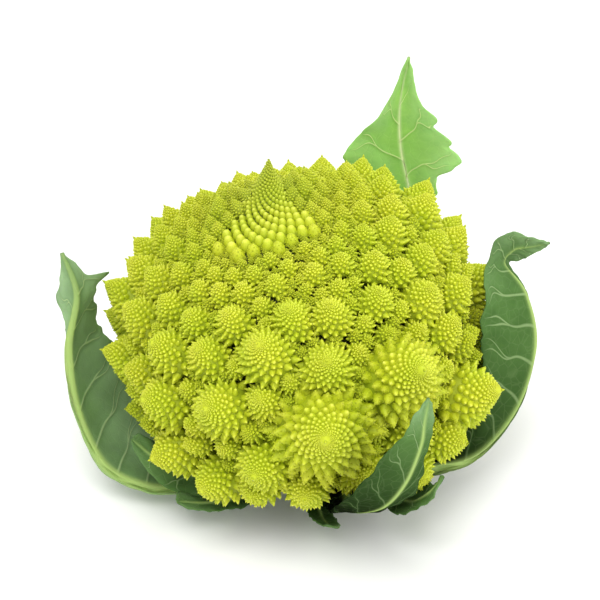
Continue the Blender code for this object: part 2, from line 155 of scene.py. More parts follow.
# ---- Meshes as whole arrays ----


def carried(points: Array, matrix: Matrix | Array) -> Array:
    """Carry points by a 4 × 4 matrix."""
    m = np.array(matrix)
    return points @ m[:3, :3].T + m[:3, 3]


def about_axis(radius: Any, turn: Any, height: Any) -> Array:
    """Find the points at these radii, turns about the vertical axis and heights."""
    return np.stack(np.broadcast_arrays(radius * np.cos(turn), radius * np.sin(turn), height), -1)


@dataclass
class Patch:
    """A triangle mesh with one value per point for each named attribute."""

    points: Array
    faces: Array
    values: dict[str, Array]

    def moved(self, matrix: Matrix | Array) -> Patch:
        """Return the patch carried by a 4 × 4 matrix."""
        return Patch(carried(self.points, matrix), self.faces, self.values)


def merged(patches: list[Patch]) -> Patch:
    """Join patches into one.

    Args:
        patches: patches that all hold the same attributes.

    Returns:
        One patch with every point and triangle.
    """
    starts = np.concatenate([[0], np.cumsum([len(p.points) for p in patches])[:-1]])
    return Patch(
        np.vstack([p.points for p in patches]),
        np.vstack([p.faces + start for p, start in zip(patches, starts)]),
        {name: np.concatenate([p.values[name] for p in patches]) for name in patches[0].values},
    )


def grid_faces(rows: int, columns: int, wrap: bool = False) -> Array:
    """Triangles between the rows and columns of a grid of points.

    Args:
        rows: how many rows of points.
        columns: how many points in a row.
        wrap: whether the last column meets the first.

    Returns:
        An array of triangles, facing the side from which rows run up and columns run to the right.
    """
    i, j = np.meshgrid(np.arange(rows - 1), np.arange(columns if wrap else columns - 1), indexing="ij")
    a, b = i * columns + j, i * columns + (j + 1) % columns
    c, d = a + columns, b + columns
    return np.concatenate([np.stack([a, b, d], -1).reshape(-1, 3), np.stack([a, d, c], -1).reshape(-1, 3)])


def dome_faces(rows: int, sides: int) -> Array:
    """Triangles of a round shape whose point 0 is its top and whose other points lie in rings below it.

    Args:
        rows: how many rings.
        sides: how many points in a ring, anticlockwise from above.

    Returns:
        An array of triangles that face outwards.
    """
    j = np.arange(sides)
    cap = np.stack([np.zeros(sides, int), 1 + j, 1 + (j + 1) % sides], -1)
    return np.vstack([cap, grid_faces(rows, sides, wrap=True)[:, ::-1] + 1])


def new_object(name: str, data: bpy.types.ID) -> bpy.types.Object:
    """Make an object in the scene."""
    obj = bpy.data.objects.new(name, data)
    bpy.context.scene.collection.objects.link(obj)
    return obj


def add_piece(name: str, patch: Patch, material: bpy.types.Material, node: str) -> None:
    """Make a smooth-shaded mesh object of a patch, as part of the head.

    Args:
        name: the object's name.
        patch: its points, triangles and attributes.
        material: its material.
        node: the solid that it stands for.
    """
    mesh = bpy.data.meshes.new(name)
    mesh.vertices.add(len(patch.points))
    mesh.vertices.foreach_set("co", patch.points.astype(np.float32).ravel())
    count = len(patch.faces)
    mesh.loops.add(3 * count)
    mesh.loops.foreach_set("vertex_index", patch.faces.astype(np.int32).ravel())
    mesh.polygons.add(count)
    mesh.polygons.foreach_set("loop_start", np.arange(0, 3 * count, 3, dtype=np.int32))
    mesh.polygons.foreach_set("use_smooth", np.ones(count, dtype=bool))
    mesh.update(calc_edges=True)
    for key, value in patch.values.items():
        mesh.attributes.new(key, "FLOAT", "POINT").data.foreach_set("value", value.astype(np.float32))
    mesh.materials.append(material)
    obj = new_object(name, mesh)
    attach(obj, HEAD_BODY)
    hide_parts(node)
    LOG.info("%s: %d triangles", name, count)


def unit(vectors: Array) -> Array:
    """Scale vectors to length 1."""
    return vectors / np.maximum(np.linalg.norm(vectors, axis=-1, keepdims=True), 1e-12)


def smoothstep(low: float, high: float, x: float | Array) -> Any:
    """0 below low, 1 above high, and an S-shaped rise between."""
    t = np.clip((x - low) / (high - low), 0, 1)
    return t * t * (3 - 2 * t)


def read_off(table: tuple[tuple[float, float], ...], x: float | Array) -> Any:
    """Look up values in a table of (x, value) rows, with straight lines between them."""
    return np.interp(x, *np.array(table, dtype=float).T)


# ---- Materials ----


def linear(hex_colour: str) -> tuple[float, ...]:
    """Turn an sRGB hex colour such as "D4DC3C" into linear RGBA."""
    srgb = [int(hex_colour[i:i + 2], 16) / 255 for i in (0, 2, 4)]
    return (*[c / 12.92 if c <= 0.04045 else ((c + 0.055) / 1.055) ** 2.4 for c in srgb], 1.0)


class NodeBuilder:
    """A new material, and the one call that adds a node to it."""

    def __init__(self, name: str) -> None:
        """Make the material.

        Args:
            name: its name.
        """
        self.material = bpy.data.materials.new(name)
        self.material.use_nodes = True
        self.tree = self.material.node_tree
        self.shader = self.tree.nodes["Principled BSDF"]

    def add(self, kind: str, inputs: dict[str | int, Any] | None = None, **settings: Any) -> bpy.types.Node:
        """Add a node.

        Args:
            kind: the node's type name without "ShaderNode".
            inputs: value or source socket for each input, by name or number.
            settings: the node's own properties.

        Returns:
            The node.
        """
        node = self.tree.nodes.new("ShaderNode" + kind)
        for key, value in settings.items():
            setattr(node, key, value)
        self.feed(node, inputs or {})
        return node

    def feed(self, node: bpy.types.Node, inputs: dict[str | int, Any]) -> None:
        """Set or link a node's inputs.

        Args:
            node: the node.
            inputs: value or source socket for each input, by name, or by number where names repeat.
        """
        for key, value in inputs.items():
            if isinstance(value, bpy.types.NodeSocket):
                self.tree.links.new(value, node.inputs[key])
            else:
                node.inputs[key].default_value = value

    def ramp(self, factor: Socket, stops: tuple[tuple[float, str], ...]) -> Socket:
        """A colour ramp.

        Args:
            factor: what runs along it.
            stops: its positions, from 0 to 1, and hex colours.

        Returns:
            The colour.
        """
        node = self.add("ValToRGB", {"Fac": factor})
        elements = node.color_ramp.elements
        while len(elements) < len(stops):
            elements.new(1.0)
        for element, (position, colour) in zip(elements, stops):
            element.position = position
            element.color = linear(colour)
        return node.outputs["Color"]

    def mix(self, factor: Socket, first: Any, second: Any, blend: str = "MIX") -> Socket:
        """Mix two colours, each a socket or a hex colour.

        Args:
            factor: the second colour's share.
            first: the first colour.
            second: the second.
            blend: how they are mixed.

        Returns:
            The colour.
        """
        node = self.add("Mix", {"Factor": factor}, data_type="RGBA", blend_type=blend)
        self.feed(node, {place: linear(c) if isinstance(c, str) else c for place, c in ((6, first), (7, second))})
        return node.outputs[2]

    def attribute(self, name: str) -> Socket:
        """A mesh attribute's value."""
        return self.add("Attribute", attribute_name=name).outputs["Fac"]

    def place(self) -> Socket:
        """Object coordinates, which are metres on the real head."""
        return self.add("TexCoord").outputs["Object"]

    def noise(self, size: float, detail: float = 3.0, roughness: float = 0.5) -> Socket:
        """Noise on object coordinates whose features are this many metres across."""
        inputs = {"Vector": self.place(), "Scale": 1 / size, "Detail": detail, "Roughness": roughness}
        return self.add("TexNoise", inputs).outputs["Fac"]

    def spread(self, value: Any, low: float, high: float, to_low: float = 0.0, to_high: float = 1.0) -> Socket:
        """Map a range of values to another."""
        inputs = {"Value": value, "From Min": low, "From Max": high, "To Min": to_low, "To Max": to_high}
        return self.add("MapRange", inputs).outputs["Result"]

    def maths(self, operation: str, first: Any, second: Any = 0.0) -> Socket:
        """One arithmetic step."""
        return self.add("Math", {0: first, 1: second}, operation=operation).outputs[0]

    def product(self, first: Any, second: Any) -> Socket:
        """Two values multiplied."""
        return self.maths("MULTIPLY", first, second)

    def dress(self, colour: Socket, roughness: Socket, height: Socket, bump: tuple[float, float],
              settings: dict[str, Any]) -> bpy.types.Material:
        """Join everything to the shader.

        Args:
            colour: the base colour.
            roughness: the roughness.
            height: the height of the fine relief, from 0 to 1.
            bump: that relief's strength, and its depth in metres.
            settings: constants of the shader.

        Returns:
            The material.
        """
        normal = self.add("Bump", {"Height": height, "Strength": bump[0], "Distance": bump[1]}).outputs["Normal"]
        self.feed(self.shader, {"Base Color": colour, "Roughness": roughness, "Normal": normal, **settings})
        return self.material


@dataclass(frozen=True)
class CurdFinish:
    """The curd's skin: matt, slightly translucent, with painted highlights on the buds' tips and painted dark green
    shade in the creases.

    It gives the eye the grain of thousands of buds, which the painted highlights on the tips pick out from the painted
    shade of the flanks.
    """

    # painted light: the colours from crease to tip run from painted shade to a painted highlight
    crease_shade: str = "3F4B18"
    shade: str = "929D1C"
    body: str = "B8C01F"
    light: str = "CACF33"
    tip: str = "DEE05C"
    spire: str = "8C9C34"  # painted shade, greyer and darker, on the spire's youngest buds

    def build(self) -> bpy.types.Material:
        """Build the material.

        Returns:
            The material, which reads the attributes tip and age.
        """
        m = NodeBuilder("romanesco_curd")
        tip, age = m.attribute("tip"), m.attribute("age")
        # painted light: tip runs from painted shade in creases and gaps at 0 to a painted highlight on bud tips at 1
        colour = m.ramp(tip, ((0.0, self.crease_shade), (0.2, self.shade), (0.45, self.body), (0.78, self.light),
                              (1.0, self.tip)))
        # some florets are a little greener or yellower than others
        patches = m.spread(m.noise(0.018, 2.0), 0.35, 0.65, 0.0, 0.35)
        colour = m.mix(patches, colour, "D2F060", "MULTIPLY")
        specks = m.spread(m.noise(0.0011, 2.0, 0.6), 0.40, 0.72, 0.0, 0.22)
        colour = m.mix(specks, colour, "A8B82C")
        # painted shade: near the tip the colour is mixed towards the spire's greyer one
        young = m.spread(age, 0.0, 0.24, 0.6, 0.0)
        colour = m.mix(young, colour, self.spire)
        # cells of the skin, drawn about ten times too coarse so that they can be seen
        grain = m.noise(0.00045, 3.0, 0.6)
        return m.dress(colour, m.spread(grain, 0.3, 0.7, 0.46, 0.62), grain, (0.35, 0.00012), {
            "IOR": 1.42,
            "Specular IOR Level": 0.4,
            "Subsurface Weight": 0.25,
            "Subsurface Radius": (0.9, 1.0, 0.2),
            "Subsurface Scale": 0.0016,
        })


@dataclass(frozen=True)
class LeafFinish:
    """A brassica leaf: waxy and glaucous, with pale veins that show on both sides.

    It gives the eye a matt, clouded green, with painted shade that darkens it towards the foot. The wax scatters all
    light, so it has no sheen.
    """

    name: str
    dark: str
    main: str
    bloom: str  # the wax that clouds the surface
    vein: str
    rib: str
    foot: str  # painted shade on the blade's foot, where the head shades it
    seen_through: float  # how much light the blade lets through

    def build(self) -> bpy.types.Material:
        """Build the material.

        A side vein lies where the attribute phase is a whole number, and forks half way to the edge. The attribute
        spacing is the distance in mm between veins, so their widths are real ones.

        Returns:
            The material, which reads the attributes rib, outer, tone, phase, across and spacing.
        """
        m = NodeBuilder(self.name)
        rib, outer, tone, phase, across, spacing = (
            m.attribute(name) for name in ("rib", "outer", "tone", "phase", "across", "spacing"))
        # painted shade: low values, towards the shaded foot, keep the blade near its dark green
        cloud_and_shade = m.product(m.spread(m.noise(0.016, 4.0, 0.6), 0.25, 0.60), m.spread(tone, -0.6, 0.8, 0.2, 1.0))
        colour = m.mix(cloud_and_shade, self.dark, self.main)
        # painted shade: below 0 the blade turns towards the near-black foot colour
        colour = m.mix(m.spread(tone, -1.0, 0.0, 1.0, 0.0), colour, self.foot)
        # the wax is thickest towards the edges
        wax = m.product(m.spread(m.noise(0.030, 3.0, 0.55), 0.33, 0.70, 0.45, 1.0), m.spread(tone, 0.0, 1.0))
        wax = m.product(wax, m.spread(across, 0.05, 0.8, 0.45, 1.0))
        wax = m.product(wax, m.spread(outer, 0.0, 1.0, 1.0, 0.8))
        colour = m.mix(wax, colour, self.bloom)
        # the finest veins close into a net of cells about 4 mm across
        net = m.add("TexVoronoi", {"Vector": m.place(), "Scale": 1 / 0.0042, "Randomness": 1.0},
                    feature="DISTANCE_TO_EDGE").outputs["Distance"]
        thread = m.spread(net, 0.0, 0.07, 1.0, 0.0)
        colour = m.mix(m.product(thread, 0.055), colour, self.vein)
        # the side veins, from 1 mm wide at the rib to 0.4 mm near the edge
        off = m.maths("ABSOLUTE", m.maths("SUBTRACT", phase, m.maths("ROUND", phase)))
        off = m.maths("ABSOLUTE", m.maths("SUBTRACT", off, m.spread(across, VEIN_FORK, 1.0, 0.0, 0.26)))
        beside = m.maths("DIVIDE", m.product(off, spacing), m.spread(across, 0.0, 1.0, 0.52, 0.2))
        vein = m.product(m.spread(beside, 0.45, 1.5, 1.0, 0.0), m.spread(across, 0.80, 0.97, 1.0, 0.0))
        # the blade is darker close beside a vein
        colour = m.mix(m.spread(beside, 1.0, 6.0, 0.22, 0.0), colour, self.dark)
        # the veins are dimmed where shade is painted on the blade
        colour = m.mix(m.product(vein, m.spread(tone, -0.8, 0.8, 0.12, 0.72)), colour, self.vein)
        colour = m.mix(rib, colour, self.rib)
        # cells of the skin, drawn about ten times too coarse so that they can be seen
        grain = m.noise(0.0007, 3.0, 0.6)
        height = m.maths("ADD", m.maths("ADD", m.product(grain, 0.35), m.product(thread, -0.4)), vein)
        return m.dress(colour, m.spread(grain, 0.3, 0.7, 0.50, 0.68), height, (0.45, 0.00025), {
            "IOR": 1.45,
            "Specular IOR Level": 0.0,
            "Subsurface Weight": self.seen_through,
            "Subsurface Radius": (0.5, 1.0, 0.25),
            "Subsurface Scale": 0.0012,
        })


@dataclass(frozen=True)
class StalkFinish:
    """The stalk: pale green and fibrous, with a moist, whitish cut face ringed by a greener rind.

    It gives the eye upright fibres at the side, and a smooth pith with pores and a ring of vessels underneath.
    """

    rind: str = "9FB566"
    pale: str = "C6D39A"
    cut: str = "DDE3BE"
    ring: str = "A9BC74"

    def build(self) -> bpy.types.Material:
        """Build the material.

        Returns:
            The material, which reads the attributes cut and ring.
        """
        m = NodeBuilder("romanesco_stalk")
        cut, ring = m.attribute("cut"), m.attribute("ring")
        stretched = m.add("Mapping", {"Vector": m.place(), "Scale": (1.0, 1.0, 0.12)}).outputs["Vector"]
        # fibres and pores, each drawn a few times coarser than real ones so that they can be seen
        fibre = m.add("TexNoise", {"Vector": stretched, "Scale": 1 / 0.0016, "Detail": 3.0}).outputs["Fac"]
        side = m.mix(m.spread(fibre, 0.35, 0.65), self.rind, self.pale)
        pores = m.noise(0.0009, 3.0, 0.6)
        face = m.mix(ring, self.cut, self.ring)
        face = m.mix(m.spread(pores, 0.45, 0.75, 0.0, 0.45), face, "B9C68A")
        colour = m.mix(cut, side, face)
        return m.dress(colour, m.spread(pores, 0.3, 0.7, 0.36, 0.55), m.maths("ADD", fibre, pores), (0.4, 0.0003), {
            "IOR": 1.42,
            "Subsurface Weight": 0.15,
            "Subsurface Radius": (0.9, 1.0, 0.5),
            "Subsurface Scale": 0.002,
        })


# ---- The curd ----


FINEST_BUD = 0.66 * MM
RIM_BUDS = 1.10  # how far down a floret's flank its buds go
TINY_BUD = 1.3 * MM  # up to this width a bud is drawn with the fewest faces
KNOBBED_BUD = 4.4 * MM  # from this width a bud near the rim carries knobs
BUD_KNOBS = 15
POINTED_FROM = 0.62  # how far down the flank buds turn pointed
# Over the width of a floret (mm): its widest bud's share of that width, and the power of a bud's growth down the flank
BUD_SHARES = ((5, 0.255), (11, 0.188), (20, 0.158), (27, 0.154), (45, 0.165))
BUD_POWERS = ((5, 0.35), (11, 0.47), (20, 0.74), (32, 1.03), (45, 1.15))
BUD_PACKING = 2.64  # how closely buds lie: the flank's area for each, over the square of its width
FLORET_HEIGHT = 0.70  # of a floret's tip, over its width
# The body under a floret's buds: where its rings lie along the flank, and how light it is there, as painted shade that
# deepens down to its stem
BODY_ROWS = (0.0, 0.08, 0.2, 0.38, 0.58, 0.8, 1.0, 1.12, 1.35, 1.6)
BODY_SHADES = ((0, 0.75), (0.3, 0.5), (0.7, 0.3), (1.0, 0.16), (1.2, 0.0))


class CurdCurve:
    """The curve that is turned about the head's axis, with its tip at the origin."""

    def __init__(self) -> None:
        """Add up the curve from its slopes, and find the matrix that stands it on the stalk."""
        self.arc = np.linspace(0, CURD_ARC, CURVE_STEPS)
        knots = np.array(CURD_SLOPES, dtype=float)
        self.slope = np.radians(np.interp(self.arc, knots[:, 0] * MM, knots[:, 1]))
        middle = (self.slope[1:] + self.slope[:-1]) / 2
        step = self.arc[1] - self.arc[0]
        self.radius = np.concatenate([[0], np.cumsum(np.cos(middle) * step)])
        self.height = -np.concatenate([[0], np.cumsum(np.sin(middle) * step)])
        far = self.arc > 0.2 * CURD_ARC
        widest = np.interp(math.pi / 2, self.slope[far], self.height[far])
        lean = Matrix.Rotation(math.radians(-LEAN_ANGLE), 4, "Y")
        rise = Matrix.Translation((0, 0, WIDEST_HEIGHT - STALK_HEIGHT - widest))
        self.frame = Matrix.Translation((0, 0, STALK_HEIGHT)) @ lean @ rise

    def at(self, arc: Any, turn: Any, lift: Any = 0.0) -> Array:
        """Points of the surface.

        Args:
            arc: distances from the tip.
            turn: angles about the axis.
            lift: height above the surface, along its normal.

        Returns:
            Points in the curd's own frame. Near the tip the spire is bent: the bend grows as the 1.5th power of the
            distance above the place where it starts.
        """
        slope = np.interp(arc, self.arc, self.slope)
        r = np.interp(arc, self.arc, self.radius) + lift * np.sin(slope)
        z = np.interp(arc, self.arc, self.height) + lift * np.cos(slope)
        bend = TIP_BEND * np.clip(1 - arc / TIP_BEND_ARC, 0, 1) ** 1.5
        return np.stack(np.broadcast_arrays(r * np.cos(turn) + bend, r * np.sin(turn), z), axis=-1)

    def axis(self, arc: Any, turn: Any) -> Array:
        """The directions in which florets at these places grow."""
        up = math.pi / 2 - np.interp(arc, self.arc, self.slope) + math.radians(FLORET_LEAN)
        return about_axis(np.cos(up), turn, np.sin(up))


def floret_width(arc: Any) -> Any:
    """Width of a floret that stands at this distance from the tip."""
    knots = np.array(FLORET_WIDTHS) * MM
    return np.interp(arc, knots[:, 0], knots[:, 1])


def off_front(turn: Any) -> Any:
    """Degrees between a turn and the front."""
    return np.abs((np.degrees(turn) + 90 + 180) % 360 - 180)


def grown_width(arc: Any, turn: Any) -> Any:
    """Width of a floret: away from the front they grow large sooner."""
    return floret_width(arc * (1 + EARLY_GROWTH * smoothstep(*EARLY_TURNS, off_front(turn))))


def crown_width(arc: Any, turn: Any) -> Any:
    """Width of a floret where the crown's cones are counted in.

    Args:
        arc: its distance from the tip.
        turn: its angle about the axis.

    Returns:
        The width.
    """
    beside = smoothstep(*CROWN_TURNS, off_front(turn))
    ring = smoothstep(*CROWN_START, arc) * (1 - smoothstep(*CROWN_END, arc))
    growth = 1 + EARLY_GROWTH * smoothstep(*EARLY_TURNS, off_front(turn))
    front = smoothstep(*FRONT_START, arc) * (1 - smoothstep(*FRONT_END, arc)) * (1 - beside)
    return floret_width(arc * growth + CROWN_GROWTH * beside * ring + FRONT_GROWTH * front)


def spiral(curve: CurdCurve, packing: float) -> tuple[Array, Array, Array]:
    """Places along the golden-angle spiral.

    The curd's area from the tip down is counted off in floret areas, and each whole count is a floret, turned one
    golden angle on from the last.

    Args:
        curve: the curd's curve.
        packing: a floret's area over its width squared.

    Returns:
        Arrays of arc, turn and width.
    """
    width = floret_width(curve.arc)
    density = 2 * math.pi * curve.radius / (packing * width**2)
    step = curve.arc[1] - curve.arc[0]
    count = np.concatenate([[0], np.cumsum((density[1:] + density[:-1]) / 2 * step)])
    number = np.arange(1, int(count[-1]) + 1)
    arc = np.interp(number, count, curve.arc)
    return arc, GOLDEN_ANGLE * number, np.interp(arc, curve.arc, width)


def blade_points() -> Array:
    """Points on the blades of all leaves, a few millimetres apart.

    Returns:
        An array with a row for each.
    """
    rows = []
    for shape in LEAVES.values():
        spine, *edges = (smooth_line(line, BLADE_PARTS) for line in (shape.rib, shape.left, shape.right))
        rows += [spine + (edge - spine) * share for edge in edges for share in np.linspace(0, 1, BLADE_SHARES)]
    return np.vstack(rows)


def filled(curve: CurdCurve, sites: list | Array, fillers: tuple[tuple[float, float], ...], size: Callable,
           narrowest: float, reach: float = CURD_ARC, blades: Array | None = None) -> Array:
    """Add a floret wherever one still fits, trying the places along a much finer spiral in turn.

    Args:
        curve: the curd's curve.
        sites: rows (arc, turn, width) of the florets that stand already.
        fillers: share of the local width, and crowding, of each pass.
        size: the function that gives the local width.
        narrowest: where the local width is less than this, none is added.
        reach: how far from the tip they go.
        blades: points that they have to keep off. Where these are given, they may stand in the leaves' beds too.

    Returns:
        An array with a row (arc, turn, width) for each floret.
    """
    sites = [tuple(site) for site in sites]
    feet = [curve_foot(curve, *site[:2]) for site in sites]
    for share, crowding in fillers:
        for arc, turn, _ in zip(*spiral(curve, FLORET_PACKING / SPIRAL_TRIALS)):
            width = size(arc, turn)
            foot = curve_foot(curve, arc, turn)
            gaps = np.linalg.norm(np.array(feet) - foot, axis=1)
            crowd = crowding * (share * width + np.array([s[2] for s in sites])) / 2
            in_bed = any(arc > limit * MM and (math.degrees(turn) - start) % 360 < end - start
                         for start, end, limit in LEAF_BEDS)
            low = (curve.frame @ Vector(foot)).z <= FLORET_FLOOR
            if in_bed and blades is not None:
                middle = np.array(curve.frame @ Vector(curve.at(arc, turn, FLORET_MIDDLE * share * width)))
                in_bed = np.linalg.norm(blades - middle, axis=1).min() < FLORET_HALF * share * width + BLADE_GAP
            if width > narrowest and arc < reach and not in_bed and not low and np.all(gaps > crowd):
                sites.append((arc, turn, share * width))
                feet.append(foot)
    return np.array(sites)


def curve_foot(curve: CurdCurve, arc: float, turn: float) -> Array:
    """The unbent point of the curd's curve at a floret's place."""
    r, z = np.interp(arc, curve.arc, curve.radius), np.interp(arc, curve.arc, curve.height)
    return np.array([r * math.cos(turn), r * math.sin(turn), z])


class BudKind(Enum):
    """How a bud is drawn: sides, then radius and height (over its width) on each ring below its tip, and the tip's."""

    TINY = (5, (0.33, 0.54), (0.30, -0.20), 0.60)
    ROUND = (6, (0.27, 0.45, 0.55), (0.43, 0.12, -0.26), 0.66)
    POINTED = (6, (0.19, 0.39, 0.55), (0.58, 0.20, -0.26), 0.92)
    BALL = (8, (0.27, 0.47, 0.50), (0.60, 0.22, -0.26), 0.74)
    CONE = (10, (0.17, 0.36, 0.52), (0.60, 0.22, -0.26), 0.90)


def bud_patch(kind: BudKind) -> Patch:
    """One bud of width 1 that points up: a closed-topped cone, with a painted highlight on its tip and painted shade at
    its foot.

    Args:
        kind: how it is drawn.

    Returns:
        A patch with the attribute tip.
    """
    sides, radius, height, top = kind.value
    rings = len(radius)
    radius, height = np.array(radius), np.array(height)
    turn = np.arange(sides) * 2 * math.pi / sides
    offset = (np.arange(rings) % 2)[:, None] * math.pi / sides
    ring = about_axis(radius[:, None], turn + offset, height[:, None])
    points = np.vstack([[[0, 0, top]], ring.reshape(-1, 3)])
    # painted light: the tip attribute falls from a painted highlight at the top to painted shade at the foot
    fall = np.clip((top - height) / (top + 0.2), 0, 1) ** 1.1
    tip = np.concatenate([[1.0], np.repeat(0.16 + 0.84 * (1 - fall) ** 1.2, sides)])
    return Patch(points, dome_faces(rings, sides), {"tip": tip})


def knob_patch(kind: BudKind, buds: int) -> Patch:
    """One large bud of width 1 that carries smaller buds in its own golden-angle spiral.

    Args:
        kind: how its body is drawn.
        buds: how many it carries.

    Returns:
        A patch with the attribute tip.
    """
    body = bud_patch(kind)
    # painted light: the body under the knobs gets neither the deepest painted shade nor the brightest highlight
    body.values["tip"] = 0.22 + 0.6 * body.values["tip"]
    _, radius, height, top = kind.value
    x = (np.arange(1, buds + 1) + 0.6) / (buds + 0.6)
    at, turn = x**1.15, GOLDEN_ANGLE * np.arange(1, buds + 1)
    knots = np.array([0, 0.36, 0.72, 1.15])
    r, z = np.interp(at, knots, (0, *radius)), np.interp(at, knots, (top, *height))
    places = about_axis(r, turn, z)
    up = math.radians(64) - math.radians(44) * at
    axes = about_axis(np.cos(up), turn, np.sin(up))
    size = (0.62 + 0.42 * at) * 0.98 / math.sqrt(buds)
    small = scattered(bud_patch(BudKind.TINY), places - 0.26 * size[:, None] * axes, axes, size)
    # painted shade: the knobs darken down the bud, and none gets a full painted highlight
    small.values["tip"] = (0.3 + 0.6 * small.values["tip"]) * np.repeat(1 - 0.4 * at, len(small.points) // buds)
    return merged([body, small])


def scattered(template: Patch, places: Array, axes: Array, sizes: Array) -> Patch:
    """Copies of a patch.

    Args:
        template: a patch of width 1 that points up.
        places: where each copy stands.
        axes: the direction in which each points.
        sizes: the width of each.

    Returns:
        One patch with every copy.
    """
    upright = np.abs(axes[:, 2:]) > 0.99
    side = unit(np.cross(axes, np.where(upright, [[1.0, 0, 0]], [[0, 0, 1.0]])))
    basis = np.stack([side, np.cross(axes, side), axes], -1) * sizes[:, None, None]
    points = np.einsum("kij,nj->kni", basis, template.points) + places[:, None, :]
    count = len(template.points)
    faces = template.faces[None] + (np.arange(len(places)) * count)[:, None, None]
    values = {name: np.tile(value, len(places)) for name, value in template.values.items()}
    return Patch(points.reshape(-1, 3), faces.reshape(-1, 3), values)


@dataclass(frozen=True)
class FloretShape:
    """A floret: a cone with hollow flanks under a golden-angle spiral of buds.

    Along the flank the distance goes from 0 at the tip to 1 at the rim. The radius grows almost evenly with it, and
    the height falls a little faster near the rim. A bud's size grows as the power c of its distance from the tip. For
    the buds to pack evenly, that distance to the power 2 - 2 c then grows by the same step from bud to bud.
    """

    width: float
    height: float = FLORET_HEIGHT
    fineness: float = 1.0  # how much smaller its buds are than a front floret's

    def profile(self, at: Any) -> tuple[Any, Any]:
        """The flank.

        Args:
            at: distance along it, past 1 where it turns in to the stem.

        Returns:
            Radius and height.
        """
        inner = np.clip(at, 0, 1)
        under = np.clip(at - 1, 0, 1)
        radius = 0.42 * inner**1.05 - 0.36 * under
        height = self.height * (1 - 0.78 * inner - 0.22 * inner**3) - 0.9 * under
        return self.width * radius, self.width * height

    def body(self) -> Patch:
        """The cone under the buds, down to its stem.

        Returns:
            A patch with the attribute tip.
        """
        sides = int(np.clip(self.width / MM * 1.3, 8, 28))
        at = np.array(BODY_ROWS)
        radius, height = self.profile(at)
        turn = np.arange(sides) * 2 * math.pi / sides
        ring = about_axis(radius[1:, None], turn, height[1:, None])
        points = np.vstack([[[0, 0, height[0]]], ring.reshape(-1, 3)])
        # painted shade: the body darkens down its flank, where the florets meet
        shade = read_off(BODY_SHADES, at)
        tip = np.concatenate([shade[:1], np.repeat(shade[1:], sides)])
        return Patch(points, dome_faces(len(at) - 1, sides), {"tip": tip})

    def buds(self, rng: np.random.Generator) -> Patch:
        """The buds.

        Args:
            rng: the source of their small differences.

        Returns:
            A patch with the attribute tip.
        """
        share = read_off(BUD_SHARES, self.width / MM) / self.fineness
        power = read_off(BUD_POWERS, self.width / MM)
        start = min(FINEST_BUD / (share * self.width), 0.45) ** (1 / power)
        q = 2 - 2 * power
        step = q * share**2 / BUD_PACKING
        number = np.arange(int((RIM_BUDS**q - start**q) / step))
        at = (start**q + step * number) ** (1 / q)
        size = share * self.width * np.minimum(at, 1) ** power
        turn = GOLDEN_ANGLE * number
        radius, height = self.profile(at + rng.normal(0, 0.10, len(at)) * size / self.width)
        turn = turn + rng.normal(0, 0.10, len(at)) * size / np.maximum(radius, size)
        places = about_axis(radius, turn, height)
        up = np.radians(58 - 26 * np.clip(at, 0, 1) - 120 * np.clip(at - 1, 0, 1))
        up = up + rng.normal(0, 0.07, len(up))
        lean = turn + rng.normal(0, 0.07, len(turn))
        axes = about_axis(np.cos(up), lean, np.sin(up))
        size = size * rng.normal(1.05, 0.05, len(size))
        crown = 0.8 * MM + 0.012 * self.width
        patches = [scattered(bud_patch(BudKind.CONE), np.array([[0, 0, self.profile(0.0)[1] - 0.45 * crown]]),
                             np.array([[0, 0, 1.0]]), np.array([crown]))]
        pointed, tiny, knobbed = at > POINTED_FROM, size <= TINY_BUD, size > KNOBBED_BUD
        for template, chosen in ((bud_patch(BudKind.TINY), tiny),
                                 (bud_patch(BudKind.ROUND), ~tiny & ~pointed),
                                 (bud_patch(BudKind.POINTED), ~tiny & ~knobbed & pointed),
                                 (knob_patch(BudKind.CONE, BUD_KNOBS), knobbed & pointed)):
            if chosen.any():
                patch = scattered(template, places[chosen], axes[chosen], size[chosen])
                # the buds near the middle, at the floret's top, are made the palest
                pale = np.repeat(np.clip(0.35 - at[chosen], 0, 1), len(template.points))
                patch.values["tip"] = patch.values["tip"] + pale * (1 - patch.values["tip"])
                patches.append(patch)
        return merged(patches)


def floret_matrix(curve: CurdCurve, arc: float, turn: float) -> Array:
    """Find how a floret stands on the curd.

    Args:
        curve: the curd's curve.
        arc: the floret's distance from the tip.
        turn: its angle about the axis. It is turned about its own by five times as much, so that no two look alike.

    Returns:
        A 4 × 4 matrix.
    """
    axis = curve.axis(arc, turn)
    side = np.array([-math.sin(turn), math.cos(turn), 0.0])
    matrix = np.eye(4)
    matrix[:3, :3] = np.stack([side, np.cross(axis, side), axis], -1)
    matrix[:3, 3] = curve.at(arc, turn)
    return matrix @ np.array(Matrix.Rotation(5 * turn, 4, "Z"))


